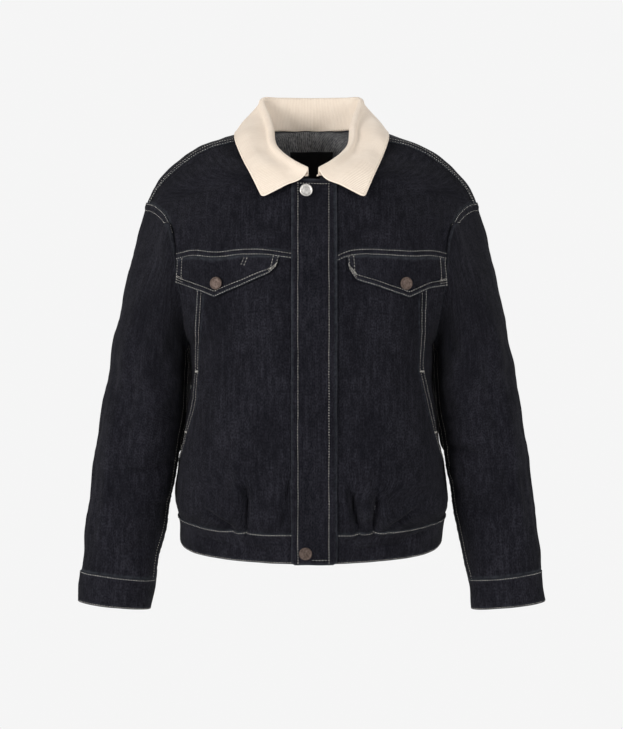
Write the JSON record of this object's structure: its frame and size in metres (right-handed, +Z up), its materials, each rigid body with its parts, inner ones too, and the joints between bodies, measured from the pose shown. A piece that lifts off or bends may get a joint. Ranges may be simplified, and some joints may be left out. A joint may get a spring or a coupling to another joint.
{
  "type": "denim jacket",
  "caption": "Dark denim trucker jacket with a cream corduroy collar, chest flaps, a front placket and a waistband, filled out as if worn, open at neck, hem and cuffs.",
  "frame": {"origin": "middle of the neck opening, where the collar lies on the wearer's shoulders", "axes": "+Z up, -Y the jacket's front, +X the wearer's left"},
  "size_m": [0.6568, 0.2609, 0.7331],
  "materials": {
    "denim": "raw dark indigo twill",
    "corduroy": "fine cream corduroy",
    "label_cloth": "black woven label, bare",
    "bronze": "aged bronze",
    "pewter": "pale worn metal"
  },
  "bodies": {
    "root": {"front_left": "denim", "front_right": "denim", "side_left": "denim", "side_right": "denim", "front_yoke_left": "denim", "front_yoke_right": "denim", "back_yoke": "denim", "back": "denim", "sleeve_top_left": "denim", "sleeve_top_right": "denim", "sleeve_under_left": "denim", "sleeve_under_right": "denim", "cuff_left": "denim", "cuff_right": "denim", "waistband": "denim", "placket": "denim", "flap_left": "denim", "flap_right": "denim", "collar": "corduroy", "neck_label": "label_cloth", "button_top": "pewter", "button_bottom": "bronze", "button_flap_left": "bronze", "button_flap_right": "bronze", "button_cuff_left": "bronze", "button_cuff_right": "bronze"}
  },
  "joints": []
}
